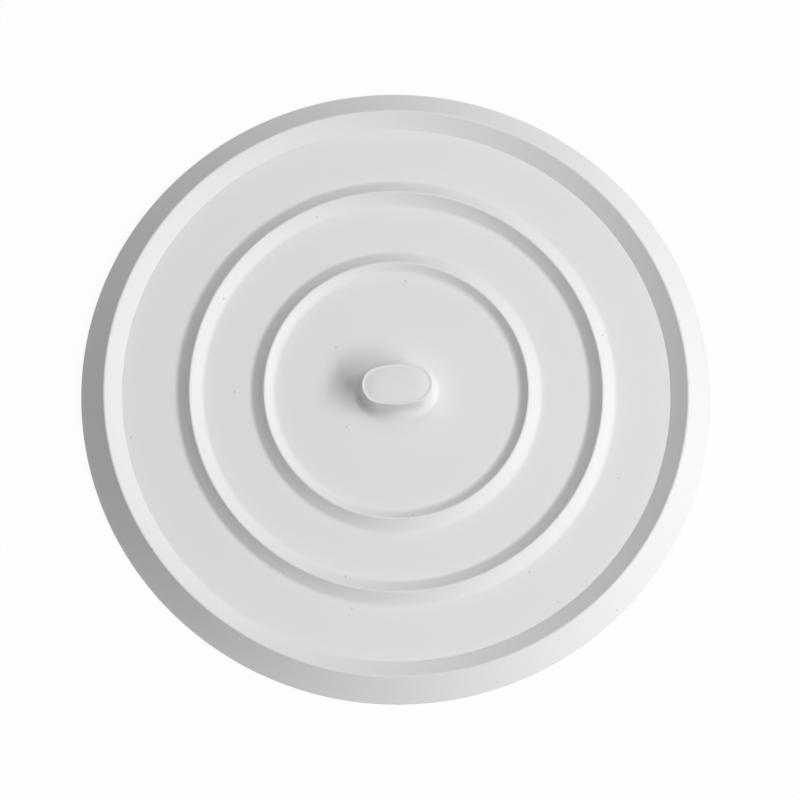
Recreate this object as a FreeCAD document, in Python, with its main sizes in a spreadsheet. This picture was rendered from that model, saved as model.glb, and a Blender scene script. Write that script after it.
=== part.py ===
import FreeCAD, Part
import math
import os

import Sketcher

# A flat drain stopper: one round white rubber moulding with a bevelled rim, two raised rings
# and a pinch knob in the middle. It is built zone by zone, from the outer edge in to the knob.
# Millimetres. The underside is the plane Z = 0, the Z axis is the middle of the disc,
# and the knob's long side runs along X.

doc = FreeCAD.newDocument("drain_stopper")

SIZES = [
    # The disc and its edge
    ("stopper_diameter", 127.0),
    ("web_thickness", 2.4),
    ("centre_step", 0.45),
    ("lip_width", 0.9),
    ("lip_root_thickness", 1.25),
    ("lip_edge_thickness", 0.6),
    ("lip_edge_radius", 0.15),
    # The rim: a bevel up from the lip to the crest, then a slope down to the web
    ("rim_bevel_width", 3.85),
    ("rim_slope_width", 3.5),
    ("rim_rise", 2.3),
    ("rim_margin", 0.8),
    # The flat webs between the raised rings
    ("outer_web_width", 9.15),
    ("middle_web_width", 7.5),
    # The raised rings, each on a strip of web that reaches past both its feet
    ("ridge_margin", 1.2),
    ("outer_ridge_outer_slope", 2.55),
    ("outer_ridge_inner_slope", 2.5),
    ("outer_ridge_rise", 2.05),
    ("inner_ridge_outer_slope", 2.55),
    ("inner_ridge_inner_slope", 1.8),
    ("inner_ridge_rise", 1.95),
    ("crest_radius", 0.5),
    ("outer_foot_radius", 1.3),
    ("outer_ridge_inner_foot_radius", 1.2),
    ("inner_ridge_inner_foot_radius", 1.5),
    # The knob: a flat-topped oval with slightly leaning walls and a hollow root
    ("knob_length", 14.1),
    ("knob_width", 8.4),
    ("knob_side_bulge", 0.4),
    ("knob_height", 5.8),
    ("knob_draft", 0.3),
    ("knob_root_height", 2.4),
    ("knob_root_end_spread", 1.4),
    ("knob_root_side_spread", 2.8),
    ("knob_edge_radius", 0.3),
]
ROOT_STEPS = 4
SAME_EDGE_TOLERANCE = 1e-4

sheet = doc.addObject("Spreadsheet::Sheet", "Sizes")
for row, (alias, number) in enumerate(SIZES, start=1):
    sheet.set(f"A{row}", alias.replace("_", " "))
    sheet.set(f"B{row}", str(number))
    sheet.setAlias(f"B{row}", alias)
doc.recompute()

bodies = []
WEB_TOP = "Sizes.web_thickness"
CENTRE_TOP = f"({WEB_TOP} + Sizes.centre_step)"


def value(expression):
    """What an expression of the sheet's sizes comes to, in millimetres."""
    return float(sheet.evalExpression(expression))


def new_body(label, height="0"):
    """A sub-part that stands at this height above the underside."""
    body = doc.addObject("PartDesign::Body", label)
    body.Label = label
    body.setExpression("Placement.Base.z", height)
    bodies.append(body)
    return body


def new_sketch(body, name, plane):
    """An empty sketch on one of the body's own origin planes."""
    sketch = body.newObject("Sketcher::SketchObject", name)
    origin_plane = next(f for f in body.Origin.OriginFeatures if f.Role == plane)
    sketch.AttachmentSupport = [(origin_plane, "")]
    sketch.MapMode = "FlatFace"
    return sketch


def bind(sketch, constraint, name, expression):
    """Add a dimension to the sketch and tie it to the sheet."""
    index = sketch.addConstraint(Sketcher.Constraint(*constraint, value(expression)))
    sketch.renameConstraint(index, name)
    sketch.setExpression(f"Constraints.{name}", expression)


def turned_body(label, outline):
    """A ring turned about Z from a closed outline of (radius, height) expressions."""
    body = new_body(label)
    sketch = new_sketch(body, f"{label}_outline", "XZ_Plane")
    corners = [FreeCAD.Vector(value(radius), value(height), 0) for radius, height in outline]
    ends = corners[1:] + corners[:1]
    sketch.addGeometry([Part.LineSegment(start, end) for start, end in zip(corners, ends)], False)
    for line in range(len(outline)):
        following = (line + 1) % len(outline)
        sketch.addConstraint(Sketcher.Constraint("Coincident", line, 2, following, 1))
    for line, (radius, height) in enumerate(outline):
        bind(sketch, ("DistanceX", -1, 1, line, 1), f"radius_{line}", radius)
        if height == "0":
            sketch.addConstraint(Sketcher.Constraint("PointOnObject", line, 1, -1))
        else:
            bind(sketch, ("DistanceY", -1, 1, line, 1), f"height_{line}", height)
    turning = body.newObject("PartDesign::Revolution", f"{label}_turning")
    turning.Profile = sketch
    turning.ReferenceAxis = (sketch, ["V_Axis"])
    turning.Angle = 360
    doc.recompute()
    return body


def round_circle(body, name, radius, height, rounding):
    """Round the body's circular edge that has this radius and height."""
    def matches(edge):
        circle = edge.Curve
        return (
            isinstance(circle, Part.Circle)
            and abs(circle.Radius - value(radius)) < SAME_EDGE_TOLERANCE
            and abs(circle.Center.z - value(height)) < SAME_EDGE_TOLERANCE
        )

    base = body.Tip
    edges = [f"Edge{i}" for i, edge in enumerate(base.Shape.Edges, start=1) if matches(edge)]
    fillet = body.newObject("PartDesign::Fillet", f"{body.Label}_{name}")
    fillet.Base = (base, edges)
    fillet.setExpression("Radius", rounding)
    doc.recompute()


def web_body(label, outer_radius):
    """A flat zone of the disc; gives back the radius where the next zone starts."""
    inner_radius = f"({outer_radius} - Sizes.{label}_width)"
    turned_body(label, [
        (inner_radius, "0"),
        (outer_radius, "0"),
        (outer_radius, WEB_TOP),
        (inner_radius, WEB_TOP),
    ])
    return inner_radius


def ridge_body(label, outer_radius, inner_top):
    """A raised ring on its strip of web, which is this thick on its inside.

    Gives back the radius where the next zone starts.
    """
    outer_foot = f"({outer_radius} - Sizes.ridge_margin)"
    crest = f"({outer_foot} - Sizes.{label}_outer_slope)"
    inner_foot = f"({crest} - Sizes.{label}_inner_slope)"
    inner_radius = f"({inner_foot} - Sizes.ridge_margin)"
    crest_height = f"({WEB_TOP} + Sizes.{label}_rise)"
    body = turned_body(label, [
        (inner_radius, "0"),
        (outer_radius, "0"),
        (outer_radius, WEB_TOP),
        (outer_foot, WEB_TOP),
        (crest, crest_height),
        (inner_foot, inner_top),
        (inner_radius, inner_top),
    ])
    round_circle(body, "crest", crest, crest_height, "Sizes.crest_radius")
    round_circle(body, "outer_foot", outer_foot, WEB_TOP, "Sizes.outer_foot_radius")
    round_circle(body, "inner_foot", inner_foot, inner_top, f"Sizes.{label}_inner_foot_radius")
    return inner_radius


# The rim: a thin drooping lip at the very edge, a bevel up to a crest and a slope down to the web
RIM_TOP = f"({WEB_TOP} + Sizes.rim_rise)"
stopper_radius = "(Sizes.stopper_diameter / 2)"
bevel_radius = f"({stopper_radius} - Sizes.lip_width)"
rim_crest_radius = f"({bevel_radius} - Sizes.rim_bevel_width)"
rim_foot_radius = f"({rim_crest_radius} - Sizes.rim_slope_width)"
rim_inner_radius = f"({rim_foot_radius} - Sizes.rim_margin)"

rim = turned_body("rim_ring", [
    (rim_inner_radius, "0"),
    (stopper_radius, "0"),
    (stopper_radius, "Sizes.lip_edge_thickness"),
    (bevel_radius, "Sizes.lip_root_thickness"),
    (rim_crest_radius, RIM_TOP),
    (rim_foot_radius, WEB_TOP),
    (rim_inner_radius, WEB_TOP),
])
round_circle(rim, "crest", rim_crest_radius, RIM_TOP, "Sizes.crest_radius")
round_circle(rim, "lip_edge", stopper_radius, "Sizes.lip_edge_thickness", "Sizes.lip_edge_radius")

# The flat webs and the two raised rings, from the rim inwards
outer_ridge_radius = web_body("outer_web", rim_inner_radius)
middle_web_radius = ridge_body("outer_ridge", outer_ridge_radius, WEB_TOP)
inner_ridge_radius = web_body("middle_web", middle_web_radius)
centre_web_radius = ridge_body("inner_ridge", inner_ridge_radius, CENTRE_TOP)

# The middle of the disc, under the knob, a little thicker than the other webs
centre = new_body("centre_web")
centre_sketch = new_sketch(centre, "centre_web_outline", "XY_Plane")
centre_sketch.addGeometry(
    Part.Circle(FreeCAD.Vector(), FreeCAD.Vector(0, 0, 1), value(centre_web_radius)), False
)
centre_sketch.addConstraint(Sketcher.Constraint("Coincident", 0, 3, -1, 1))
bind(centre_sketch, ("Radius", 0), "radius", centre_web_radius)
centre_pad = centre.newObject("PartDesign::Pad", "centre_web_pad")
centre_pad.Profile = centre_sketch
centre_pad.setExpression("Length", CENTRE_TOP)
doc.recompute()


# The knob: an oval of four arcs, with round ends and long sides that bulge a little past them
end_reach = "(Sizes.knob_length / 2 - Sizes.knob_width / 2 + Sizes.knob_side_bulge)"


def half_width(height):
    """Half the knob's width at this height above the middle of the disc: its walls lean in."""
    return f"(Sizes.knob_width / 2 + Sizes.knob_draft * (1 - ({height}) / Sizes.knob_height))"


def end_radius(height):
    """Radius of the knob's round ends at this height above the middle of the disc."""
    return f"({half_width(height)} - Sizes.knob_side_bulge)"


def oval_sketch(body, name, height, half, end):
    """An oval along X at this height above the body's own base, from its half width and end radius."""
    side = f"(({end_reach}^2 + {half}^2 - {end}^2) / (2 * ({half} - {end})))"
    sketch = new_sketch(body, name, "XY_Plane")
    sketch.setExpression("AttachmentOffset.Base.z", height)
    reach, side_reach = value(end_reach), value(f"{side} - {half}")
    meeting = math.atan2(side_reach, reach)
    up = FreeCAD.Vector(0, 0, 1)
    arcs = [
        (FreeCAD.Vector(reach, 0, 0), end, -meeting, meeting),
        (FreeCAD.Vector(0, -side_reach, 0), side, meeting, math.pi - meeting),
        (FreeCAD.Vector(-reach, 0, 0), end, math.pi - meeting, math.pi + meeting),
        (FreeCAD.Vector(0, side_reach, 0), side, math.pi + meeting, math.tau - meeting),
    ]
    for centre, radius, first, last in arcs:
        sketch.addGeometry(Part.ArcOfCircle(Part.Circle(centre, up, value(radius)), first, last), False)
    for arc in range(len(arcs)):
        sketch.addConstraint(Sketcher.Constraint("Tangent", arc, 2, (arc + 1) % len(arcs), 1))
    for right_or_top, left_or_bottom in ((0, 2), (1, 3)):
        sketch.addConstraint(Sketcher.Constraint("Equal", right_or_top, left_or_bottom))
    for arc in (0, 2):
        sketch.addConstraint(Sketcher.Constraint("PointOnObject", arc, 3, -1))
    bind(sketch, ("DistanceX", -1, 1, 0, 3), "right_reach", end_reach)
    bind(sketch, ("DistanceX", 2, 3, -1, 1), "left_reach", end_reach)
    bind(sketch, ("Radius", 0), "end_radius", end)
    bind(sketch, ("Radius", 1), "side_radius", side)
    return sketch


def root_rise(turn):
    """Height above the middle of the disc where the root's hollow has turned this far from level."""
    return f"({1 - math.cos(turn)} * Sizes.knob_root_height)"


def flared_body(label, first_turn, last_turn):
    """A length of the knob's root between two turns of its hollow, in straight-sided steps."""
    body = new_body(label, f"{CENTRE_TOP} + {root_rise(first_turn)}")
    sections = []
    for step in range(ROOT_STEPS + 1):
        turn = first_turn + (last_turn - first_turn) * step / ROOT_STEPS
        rise = root_rise(turn)
        share = 1 - math.sin(turn)
        sections.append(oval_sketch(
            body, f"{label}_section_{step}", f"{rise} - {root_rise(first_turn)}",
            half=f"({half_width(rise)} + {share} * Sizes.knob_root_side_spread)",
            end=f"({end_radius(rise)} + {share} * Sizes.knob_root_end_spread)",
        ))
    flare = body.newObject("PartDesign::AdditiveLoft", f"{label}_flare")
    flare.Profile = sections[0]
    flare.Sections = sections[1:]
    flare.Ruled = True
    doc.recompute()


# The root spreads onto the disc in a hollow curve, wider along the knob's sides than at its ends. Its
# lower half is the base, fixed to the disc, and its upper half is the neck, which bends with the knob.
flared_body("knob_base", 0, math.radians(45))
flared_body("knob_neck", math.radians(45), math.radians(90))

# The head, which finger and thumb pinch, with leaning sides and its top edge rounded
HEAD_BASE = root_rise(math.radians(90))
head = new_body("knob_head", f"{CENTRE_TOP} + {HEAD_BASE}")
head_pad = head.newObject("PartDesign::Pad", "knob_head_pad")
head_pad.Profile = oval_sketch(
    head, "knob_head_outline", "0", half=half_width(HEAD_BASE), end=end_radius(HEAD_BASE)
)
head_pad.setExpression("Length", f"Sizes.knob_height - {HEAD_BASE}")
head_pad.setExpression("TaperAngle", "-atan(Sizes.knob_draft / Sizes.knob_height)")
doc.recompute()
head_top = head_pad.Shape.BoundBox.ZMax
top_edges = [
    f"Edge{i}"
    for i, edge in enumerate(head_pad.Shape.Edges, start=1)
    if edge.BoundBox.ZMin > head_top - SAME_EDGE_TOLERANCE
]
head_rounding = head.newObject("PartDesign::Fillet", "knob_head_edge")
head_rounding.Base = (head_pad, top_edges)
head_rounding.setExpression("Radius", "Sizes.knob_edge_radius")
doc.recompute()

# Every feature has to be sound before anything is written
for feature in doc.Objects:
    if "Invalid" in feature.State or "Error" in feature.State:
        raise RuntimeError(f"{feature.Label} failed: {feature.State}")
for body in bodies:
    if body.Shape.isNull() or not body.Shape.isValid() or len(body.Shape.Solids) != 1:
        raise RuntimeError(f"{body.Label} is not one sound solid")

os.makedirs("parts", exist_ok=True)
for body in bodies:
    body.Shape.exportStep(f"parts/{body.Label}.step")
    print(f"{body.Label}: {body.Shape.Volume:.1f} mm3")
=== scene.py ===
import math

import bmesh
import bpy
from mathutils import Matrix, Vector


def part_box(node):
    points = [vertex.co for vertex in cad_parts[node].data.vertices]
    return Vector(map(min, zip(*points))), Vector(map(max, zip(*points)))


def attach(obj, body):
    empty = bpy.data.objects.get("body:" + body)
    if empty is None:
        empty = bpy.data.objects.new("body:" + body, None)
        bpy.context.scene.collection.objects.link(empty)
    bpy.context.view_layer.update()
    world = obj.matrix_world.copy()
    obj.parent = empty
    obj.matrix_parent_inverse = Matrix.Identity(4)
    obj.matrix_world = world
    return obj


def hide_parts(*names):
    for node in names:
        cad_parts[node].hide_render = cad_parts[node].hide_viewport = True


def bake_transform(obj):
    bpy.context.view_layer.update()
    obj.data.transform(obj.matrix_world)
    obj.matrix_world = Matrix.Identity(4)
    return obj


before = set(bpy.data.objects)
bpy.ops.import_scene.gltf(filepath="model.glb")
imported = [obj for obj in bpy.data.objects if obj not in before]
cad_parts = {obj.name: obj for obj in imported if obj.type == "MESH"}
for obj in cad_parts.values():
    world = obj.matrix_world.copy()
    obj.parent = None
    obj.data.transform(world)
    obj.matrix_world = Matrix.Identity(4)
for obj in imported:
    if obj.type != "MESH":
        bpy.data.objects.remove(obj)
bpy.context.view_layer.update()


# The outer rim
# The edge of the moulding: a thin drooping lip that seals on the sink floor, a bevel up to a rounded
# crest and a slope down to the flat web. Matt white rubber, pressed in one mould with all the rest.
MM = 0.001
LIP_WIDTH = 0.9 * MM
LIP_ROOT_THICKNESS = 1.25 * MM
LIP_EDGE_THICKNESS = 0.6 * MM
LIP_EDGE_ROUNDING = 0.15 * MM
UNDER_EDGE_ROUNDING = 0.08 * MM
RIM_BEVEL_WIDTH = 3.85 * MM
RIM_SLOPE_WIDTH = 3.5 * MM
RIM_RISE = 2.3 * MM
CREST_CUT = 0.12 * MM
CREST_ROUNDING = 0.15 * MM
WHITE = 0.8
TURN_STEPS = 360
ARC_STEP = math.radians(4)
CREASE_ANGLE = math.radians(8)
SAME_POINT = 0.0005 * MM


class Shade:
    """One output among a finish's nodes. Sums and products of outputs add Math nodes."""

    def __init__(self, tree, socket=None):
        self.tree = tree
        self.socket = socket

    def node(self, kind, inputs=(), output=0, **settings):
        """Any node: its settings first, then values or links for its sockets. Gives back one output."""
        made = self.tree.nodes.new(kind)
        for setting, choice in settings.items():
            setattr(made, setting, choice)
        for name, given in dict(inputs).items():
            if isinstance(given, Shade):
                self.tree.links.new(given.socket, made.inputs[name])
            else:
                made.inputs[name].default_value = given
        return Shade(self.tree, made.outputs[output] if made.outputs else None)

    def maths(self, operation, first, second):
        return self.node("ShaderNodeMath", {0: first, 1: second}, operation=operation)

    def __add__(self, other):
        return self.maths("ADD", self, other)

    def __sub__(self, other):
        return self.maths("SUBTRACT", self, other)

    def __rsub__(self, other):
        return self.maths("SUBTRACT", other, self)

    def __mul__(self, other):
        return self.maths("MULTIPLY", self, other)

    __radd__ = __add__
    __rmul__ = __mul__


def white_rubber():
    """Matt moulded rubber: nearly even white, a fine uneven skin and here and there a tiny dark pit."""
    skin_grain = 0.35 * MM
    slow_swell = 14 * MM
    skin_depth = 0.012 * MM
    skin_strength = 0.3
    grain_tint = 0.012
    swell_tint = 0.02
    dullness = 0.62
    swell_dullness = 0.1
    shine = 0.35
    pit_spacing = 20 * MM
    pit_radius = 0.22 * MM
    pitted_share = 0.5
    pit_darkening = 0.35
    pit_depth_in_grains = 4.0

    material = bpy.data.materials.new("white_rubber")
    material.use_nodes = True
    material.node_tree.nodes.clear()
    finish = Shade(material.node_tree)
    place = finish.node("ShaderNodeTexCoord", output="Object")
    grain = finish.node("ShaderNodeTexNoise", {"Vector": place, "Scale": 1 / skin_grain, "Detail": 2.0})
    swell = finish.node("ShaderNodeTexNoise", {"Vector": place, "Scale": 1 / slow_swell, "Detail": 1.0})
    spread = {"Vector": place, "Scale": 1 / pit_spacing}
    to_pit = finish.node("ShaderNodeTexVoronoi", spread, "Distance", voronoi_dimensions="2D")
    lot = finish.node("ShaderNodeTexVoronoi", spread, "Color", voronoi_dimensions="2D")
    near = finish.node("ShaderNodeMapRange", {
        "Value": to_pit,
        "From Min": 0.5 * pit_radius / pit_spacing,
        "From Max": pit_radius / pit_spacing,
        "To Min": 1.0,
        "To Max": 0.0,
    }, interpolation_type="SMOOTHSTEP")
    drawn = finish.node("ShaderNodeSeparateColor", {"Color": lot}, "Red")
    pit = near * finish.maths("LESS_THAN", drawn, pitted_share)
    clean_tone = WHITE + grain_tint * (grain - 0.5) + swell_tint * (swell - 0.5)
    tone = clean_tone * (1 - pit_darkening * pit)
    colour = finish.node("ShaderNodeCombineColor", {"Red": tone, "Green": tone, "Blue": tone})
    skin = finish.node("ShaderNodeBump", {
        "Height": grain - pit_depth_in_grains * pit,
        "Strength": skin_strength,
        "Distance": skin_depth,
    })
    rubber_face = finish.node("ShaderNodeBsdfPrincipled", {
        "Base Color": colour,
        "Roughness": dullness + swell_dullness * (swell - 0.5),
        "Specular IOR Level": shine,
        "Normal": skin,
    })
    finish.node("ShaderNodeOutputMaterial", {"Surface": rubber_face})
    return material


rubber = white_rubber()


def rounded_outline(corners, closed=True):
    """A flat outline in the XZ plane from (radius, height, rounding) corners, rounded as each says."""
    outline = bmesh.new()
    points = [outline.verts.new((radius, 0, height)) for radius, height, _ in corners]
    outline.faces.new(points)
    if not closed:
        closing_edge = outline.edges.get((points[-1], points[0]))
    for point, (_, _, rounding) in zip(points, corners):
        if rounding > 0:
            sides = [edge.other_vert(point).co - point.co for edge in point.link_edges]
            turn = math.pi - sides[0].angle(sides[1])
            bmesh.ops.bevel(
                outline, geom=[point], affect="VERTICES", profile=0.5, material=-1,
                offset=rounding * math.tan(turn / 2), segments=math.ceil(turn / ARC_STEP),
            )
    bmesh.ops.delete(outline, geom=outline.faces[:], context="FACES_ONLY")
    if not closed:
        bmesh.ops.delete(outline, geom=[closing_edge], context="EDGES")
    return outline


def rubber_piece(name, shape):
    """A finished piece of the moulding: smooth where it curves and crisp where it creases."""
    bmesh.ops.remove_doubles(shape, verts=shape.verts[:], dist=SAME_POINT)
    bmesh.ops.recalc_face_normals(shape, faces=shape.faces[:])
    mesh = bpy.data.meshes.new(name)
    shape.to_mesh(mesh)
    shape.free()
    mesh.shade_smooth()
    mesh.set_sharp_from_angle(angle=CREASE_ANGLE)
    mesh.materials.append(rubber)
    piece = bpy.data.objects.new(name, mesh)
    bpy.context.scene.collection.objects.link(piece)
    flat_faces = piece.modifiers.new("flat_faces_stay_flat", "WEIGHTED_NORMAL")
    flat_faces.keep_sharp = True
    return piece


def turned_piece(name, node, corners):
    """A ring of the disc, turned about Z from its section, in place of a CAD node."""
    ring = rounded_outline(corners)
    bmesh.ops.spin(
        ring, geom=ring.verts[:] + ring.edges[:], axis=(0, 0, 1), cent=(0, 0, 0),
        angle=math.tau, steps=TURN_STEPS, use_merge=True,
    )
    piece = rubber_piece(name, ring)
    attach(piece, "disc")
    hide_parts(node)


def outer_radius(node):
    """How far a round CAD node reaches from the middle of the disc."""
    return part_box(node)[1].x


def flat_crest(outer_foot, sharp_top, inner_foot):
    """The two ends of the narrow flat that takes off the sharp top between a crest's two slopes."""
    top_radius, top_height = sharp_top
    ends = []
    for foot_radius, foot_height in (outer_foot, inner_foot):
        share = CREST_CUT / (top_height - foot_height)
        end_radius = top_radius + share * (foot_radius - top_radius)
        ends.append((end_radius, top_height - CREST_CUT, CREST_ROUNDING))
    return ends


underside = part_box("rim_ring")[0].z
web_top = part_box("outer_web")[1].z
edge_radius = outer_radius("rim_ring")
lip_root_radius = edge_radius - LIP_WIDTH
rim_crest_radius = lip_root_radius - RIM_BEVEL_WIDTH
rim_foot_radius = rim_crest_radius - RIM_SLOPE_WIDTH
rim_inner_radius = outer_radius("outer_web")
lip_root = lip_root_radius, underside + LIP_ROOT_THICKNESS
rim_top = rim_crest_radius, web_top + RIM_RISE
rim_foot = rim_foot_radius, web_top
turned_piece("rim", "rim_ring", [
    (rim_inner_radius, underside, 0),
    (edge_radius, underside, UNDER_EDGE_ROUNDING),
    (edge_radius, underside + LIP_EDGE_THICKNESS, LIP_EDGE_ROUNDING),
    (*lip_root, 0),
    *flat_crest(lip_root, rim_top, rim_foot),
    (*rim_foot, 0),
    (rim_inner_radius, web_top, 0),
])


# The flat webs
# The two level bands of the disc between the rim and the raised rings. Plain sheets of the same rubber,
# one piece with the rings on either side of them.
def web_piece(name, node, inner_radius):
    """A flat band from this radius out to the CAD node's own edge."""
    turned_piece(name, node, [
        (inner_radius, underside, 0),
        (outer_radius(node), underside, 0),
        (outer_radius(node), web_top, 0),
        (inner_radius, web_top, 0),
    ])


web_piece("outer_band", "outer_web", outer_radius("outer_ridge"))
web_piece("middle_band", "middle_web", outer_radius("inner_ridge"))


# The raised rings
# Two low ribs that stiffen the disc, moulded with it. Their feet run into the web in small hollow
# curves, widest on the inside of the inner ring, and their crests are narrow and just rounded.
RING_MARGIN = 1.2 * MM
OUTER_FOOT_ROUNDING = 1.3 * MM
SLOPE_HOLLOW = 0.07 * MM
SLOPE_ROUNDING = 6 * MM


def hollow_slope(high, low):
    """The middle of a slope between two (radius, height) places, where it sinks a little."""
    middle = [(top + bottom) / 2 for top, bottom in zip(high, low)]
    return middle[0], middle[1] - SLOPE_HOLLOW, SLOPE_ROUNDING


def ring_piece(name, node, inner_radius, inner_top, outer_slope, inner_slope, rise, inner_foot_rounding):
    """A raised ring on its strip of web, with its two slopes' widths and the height of its crest."""
    outer_foot = outer_radius(node) - RING_MARGIN, web_top
    crest = outer_foot[0] - outer_slope, web_top + rise
    inner_foot = crest[0] - inner_slope, inner_top
    turned_piece(name, node, [
        (inner_radius, underside, 0),
        (outer_radius(node), underside, 0),
        (outer_radius(node), web_top, 0),
        (*outer_foot, OUTER_FOOT_ROUNDING),
        hollow_slope(crest, outer_foot),
        *flat_crest(outer_foot, crest, inner_foot),
        hollow_slope(crest, inner_foot),
        (*inner_foot, inner_foot_rounding),
        (inner_radius, inner_top, 0),
    ])


centre_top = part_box("centre_web")[1].z
ring_piece("outer_ring", "outer_ridge", outer_radius("middle_web"), web_top,
           outer_slope=2.55 * MM, inner_slope=2.5 * MM, rise=2.05 * MM, inner_foot_rounding=1.2 * MM)
ring_piece("inner_ring", "inner_ridge", outer_radius("centre_web"), centre_top,
           outer_slope=2.55 * MM, inner_slope=1.8 * MM, rise=1.95 * MM, inner_foot_rounding=1.5 * MM)


# The middle of the disc and the knob's root
# The web inside the inner ring swells up in a hollow curve into the neck of the knob, wider along the
# knob's sides than at its ends. It is all one skin of rubber.
KNOB_LENGTH = 14.1 * MM
KNOB_WIDTH = 8.4 * MM
SIDE_BULGE = 0.4 * MM
KNOB_DRAFT = 0.3 * MM
ROOT_END_SPREAD = 1.4 * MM
ROOT_SIDE_SPREAD = 2.8 * MM
ROOT_STEPS = 30
END_STEPS = 48
HALF_SIDE_STEPS = 20

knob_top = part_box("knob_head")[1].z
neck_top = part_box("knob_neck")[1].z
end_reach = (KNOB_LENGTH - KNOB_WIDTH) / 2 + SIDE_BULGE


def knob_half_width(height):
    """Half the knob's width at this height: its walls lean in towards the top."""
    return KNOB_WIDTH / 2 + KNOB_DRAFT * (knob_top - height) / (knob_top - centre_top)


def sweep_round(shape, start, half_width, end_radius):
    """Carry a point or outline from the middle of the knob's front once round its oval of four arcs."""
    bulge = half_width - end_radius
    side_reach = (end_reach ** 2 - bulge ** 2) / (2 * bulge)
    half_side = math.atan2(end_reach, side_reach)
    end_turn = math.pi - 2 * half_side
    last = start
    for middle, turn, steps in [
        ((0, side_reach, 0), half_side, HALF_SIDE_STEPS),
        ((end_reach, 0, 0), end_turn, END_STEPS),
        ((0, -side_reach, 0), 2 * half_side, 2 * HALF_SIDE_STEPS),
        ((-end_reach, 0, 0), end_turn, END_STEPS),
        ((0, side_reach, 0), half_side, HALF_SIDE_STEPS),
    ]:
        arc = bmesh.ops.spin(shape, geom=last, axis=(0, 0, 1), cent=middle, angle=turn, steps=steps)
        last = arc["geom_last"]
    bmesh.ops.remove_doubles(shape, verts=shape.verts[:], dist=SAME_POINT)


def edges_at(shape, height):
    """The edges of a shape that lie level at this height."""
    return [
        edge for edge in shape.edges
        if all(abs(vert.co.z - height) < SAME_POINT for vert in edge.verts)
    ]


centre = bmesh.new()
loops = []
for step in range(ROOT_STEPS + 1):
    turn = math.pi / 2 * step / ROOT_STEPS
    height = centre_top + (neck_top - centre_top) * (1 - math.cos(turn))
    spread = 1 - math.sin(turn)
    half_width = knob_half_width(height) + spread * ROOT_SIDE_SPREAD
    end_radius = knob_half_width(height) - SIDE_BULGE + spread * ROOT_END_SPREAD
    sweep_round(centre, [centre.verts.new((0, -half_width, height))], half_width, end_radius)
    loops.append(edges_at(centre, height))
for lower, upper in zip(loops, loops[1:]):
    bmesh.ops.bridge_loops(centre, edges=lower + upper)
bmesh.ops.holes_fill(centre, edges=loops[-1])
centre_radius = outer_radius("centre_web")
disc_edge = bmesh.ops.create_circle(centre, segments=TURN_STEPS, radius=centre_radius)["verts"]
bmesh.ops.translate(centre, verts=disc_edge, vec=(0, 0, centre_top))
circle = [edge for edge in edges_at(centre, centre_top) if edge not in loops[0]]
bmesh.ops.triangle_fill(centre, edges=loops[0] + circle, normal=(0, 0, 1), use_beauty=True)
wall = bmesh.ops.extrude_edge_only(centre, edges=circle)["geom"]
lower_edge = [item for item in wall if isinstance(item, bmesh.types.BMVert)]
bmesh.ops.translate(centre, verts=lower_edge, vec=(0, 0, underside - centre_top))
bmesh.ops.holes_fill(centre, edges=edges_at(centre, underside))
centre_piece = rubber_piece("centre", centre)
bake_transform(centre_piece)
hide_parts("centre_web", "knob_base")


# The knob
# A small oval grip for finger and thumb, solid rubber, with nearly upright walls. Its top is a very low
# dome inside a thin raised edge, as the mould leaves it.
TOP_EDGE_ROUNDING = 0.12 * MM
TOP_EDGE_WIDTH = 0.22 * MM
TOP_EDGE_HEIGHT = 0.07 * MM
GROOVE_INSET = 0.6 * MM
GROOVE_ROUNDING = 0.6 * MM
DOME_HEIGHT = 0.27 * MM
DOME_INSET = 2.4 * MM
DOME_ROUNDING = 10 * MM
FLAT_INSET = 3.4 * MM
BEND_STEP = 0.4 * MM
BEND_CUTS = 6

groove_height = knob_top - DOME_HEIGHT
top_edge_height = groove_height + TOP_EDGE_HEIGHT
top_half_width = knob_half_width(top_edge_height)
knob = rounded_outline([
    (knob_half_width(neck_top), neck_top, 0),
    (top_half_width, top_edge_height, TOP_EDGE_ROUNDING),
    (top_half_width - TOP_EDGE_WIDTH, top_edge_height, TOP_EDGE_ROUNDING),
    (top_half_width - GROOVE_INSET, groove_height, GROOVE_ROUNDING),
    (top_half_width - DOME_INSET, knob_top, DOME_ROUNDING),
    (top_half_width - FLAT_INSET, knob_top, 0),
], closed=False)
long_wall = [edge for edge in knob.edges if edge.calc_length() > BEND_STEP]
bmesh.ops.subdivide_edges(knob, edges=long_wall, cuts=BEND_CUTS)
bmesh.ops.transform(knob, matrix=Matrix.Rotation(-math.pi / 2, 4, "Z"), verts=knob.verts[:])
sweep_round(knob, knob.verts[:] + knob.edges[:], top_half_width, top_half_width - SIDE_BULGE)
for height in (neck_top, knob_top):
    bmesh.ops.holes_fill(knob, edges=[edge for edge in edges_at(knob, height) if edge.is_boundary])
knob_piece = rubber_piece("knob", knob)
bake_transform(knob_piece)
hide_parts("knob_neck", "knob_head")


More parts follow.
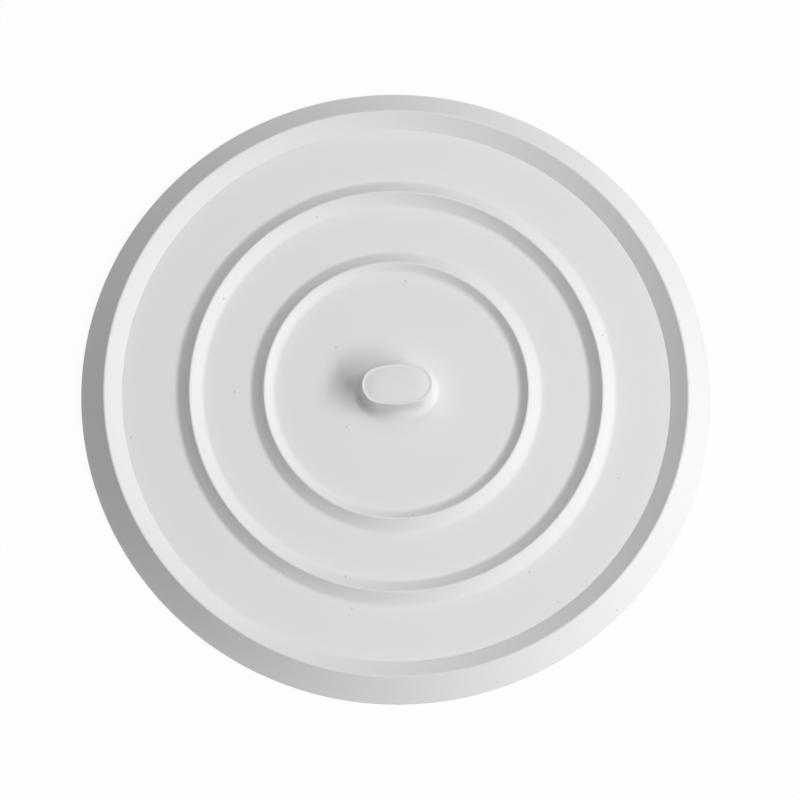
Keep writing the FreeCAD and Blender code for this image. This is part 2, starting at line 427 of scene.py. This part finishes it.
# The floor, the light and the camera
# A pale floor that shows nearly white, light from a wide window and a small lamp on the right and a
# weaker one behind, and the camera almost overhead, as in the photograph.
FLOOR_SIZE = 6.0
FLOOR_WHITE = 0.9
BACKGROUND_SHARE = 0.94
AMBIENT = 0.145
LAMP_DISTANCE = 1.2
KEY_AZIMUTH = math.radians(-20)
KEY_ELEVATION = math.radians(38)
KEY_WIDTH = 1.2
KEY_HEIGHT = 0.3
KEY_POWER = 11.1
SPOT_AZIMUTH = math.radians(10)
SPOT_ELEVATION = math.radians(52)
SPOT_SIZE = 0.2
SPOT_POWER = 1.46
FILL_AZIMUTH = math.radians(90)
FILL_ELEVATION = math.radians(60)
FILL_SIZE = 0.9
FILL_POWER = 3.8
PHOTO_TURN = math.radians(-3)
CAMERA_TILT = math.radians(14.5)
TILT_AXIS_TURN = math.radians(-4.7)
CAMERA_DISTANCE = 0.892
CAMERA_PAN = (0.71 * MM, -1.66 * MM)
CAMERA_LENS = 199.3


def seen_directly(finish):
    """1 for what is seen, straight, in a gloss or through glass, and 0 for what lights the scene."""
    straight, glossy, through = [
        finish.node("ShaderNodeLightPath", output=f"Is {ray} Ray")
        for ray in ("Camera", "Glossy", "Transmission")
    ]
    return finish.maths("MAXIMUM", finish.maths("MAXIMUM", straight, glossy), through)


def floor_finish():
    """Pale matt board, shown lighter than it lights."""
    material = bpy.data.materials.new("floor_board")
    material.use_nodes = True
    material.node_tree.nodes.clear()
    finish = Shade(material.node_tree)
    board = finish.node("ShaderNodeBsdfDiffuse", {"Color": (FLOOR_WHITE, FLOOR_WHITE, FLOOR_WHITE, 1)})
    white = finish.node("ShaderNodeEmission", {"Color": (1, 1, 1, 1), "Strength": 1.0})
    share = seen_directly(finish) * BACKGROUND_SHARE
    shown = finish.node("ShaderNodeMixShader", {0: share, 1: board, 2: white})
    finish.node("ShaderNodeOutputMaterial", {"Surface": shown})
    return material


floor_shape = bmesh.new()
bmesh.ops.create_grid(floor_shape, x_segments=1, y_segments=1, size=FLOOR_SIZE / 2)
bmesh.ops.translate(floor_shape, verts=floor_shape.verts[:], vec=(0, 0, underside))
floor_mesh = bpy.data.meshes.new("floor")
floor_shape.to_mesh(floor_mesh)
floor_shape.free()
floor_mesh.materials.append(floor_finish())
floor = bpy.data.objects.new("floor", floor_mesh)
bpy.context.scene.collection.objects.link(floor)

world = bpy.data.worlds.new("studio")
world.use_nodes = True
world.node_tree.nodes.clear()
sky = Shade(world.node_tree)
fill = sky.node("ShaderNodeBackground", {"Color": (1, 1, 1, 1), "Strength": AMBIENT})
backdrop = sky.node("ShaderNodeBackground", {"Color": (1, 1, 1, 1), "Strength": 1.0})
room = sky.node("ShaderNodeMixShader", {0: seen_directly(sky), 1: fill, 2: backdrop})
sky.node("ShaderNodeOutputWorld", {"Surface": room})
bpy.context.scene.world = world

heading = Matrix.Rotation(PHOTO_TURN, 4, "Z")


def window_lamp(name, azimuth, elevation, width, height, power):
    """A flat lamp that faces the stopper; azimuth runs round from the photograph's right."""
    lamp = bpy.data.lights.new(name, "AREA")
    lamp.shape = "RECTANGLE"
    lamp.size = height
    lamp.size_y = width
    lamp.energy = power
    stand = bpy.data.objects.new(name, lamp)
    bpy.context.scene.collection.objects.link(stand)
    turn = Matrix.Rotation(azimuth, 4, "Z")
    lean = Matrix.Rotation(math.pi / 2 - elevation, 4, "Y")
    stand.matrix_world = heading @ turn @ lean @ Matrix.Translation((0, 0, LAMP_DISTANCE))


window_lamp("key", KEY_AZIMUTH, KEY_ELEVATION, KEY_WIDTH, KEY_HEIGHT, KEY_POWER)
window_lamp("spot", SPOT_AZIMUTH, SPOT_ELEVATION, SPOT_SIZE, SPOT_SIZE, SPOT_POWER)
window_lamp("fill", FILL_AZIMUTH, FILL_ELEVATION, FILL_SIZE, FILL_SIZE, FILL_POWER)

camera = bpy.data.objects.new("camera", bpy.data.cameras.new("camera"))
camera.data.lens = CAMERA_LENS
bpy.context.scene.collection.objects.link(camera)
tilt_axis = Vector((math.cos(TILT_AXIS_TURN), math.sin(TILT_AXIS_TURN), 0))
tilt = Matrix.Rotation(CAMERA_TILT, 4, tilt_axis)
standpoint = Matrix.Translation((*CAMERA_PAN, CAMERA_DISTANCE))
camera.matrix_world = Matrix.Translation((0, 0, web_top)) @ heading @ tilt @ standpoint
bpy.context.scene.camera = camera
bpy.context.scene.view_settings.view_transform = "Standard"
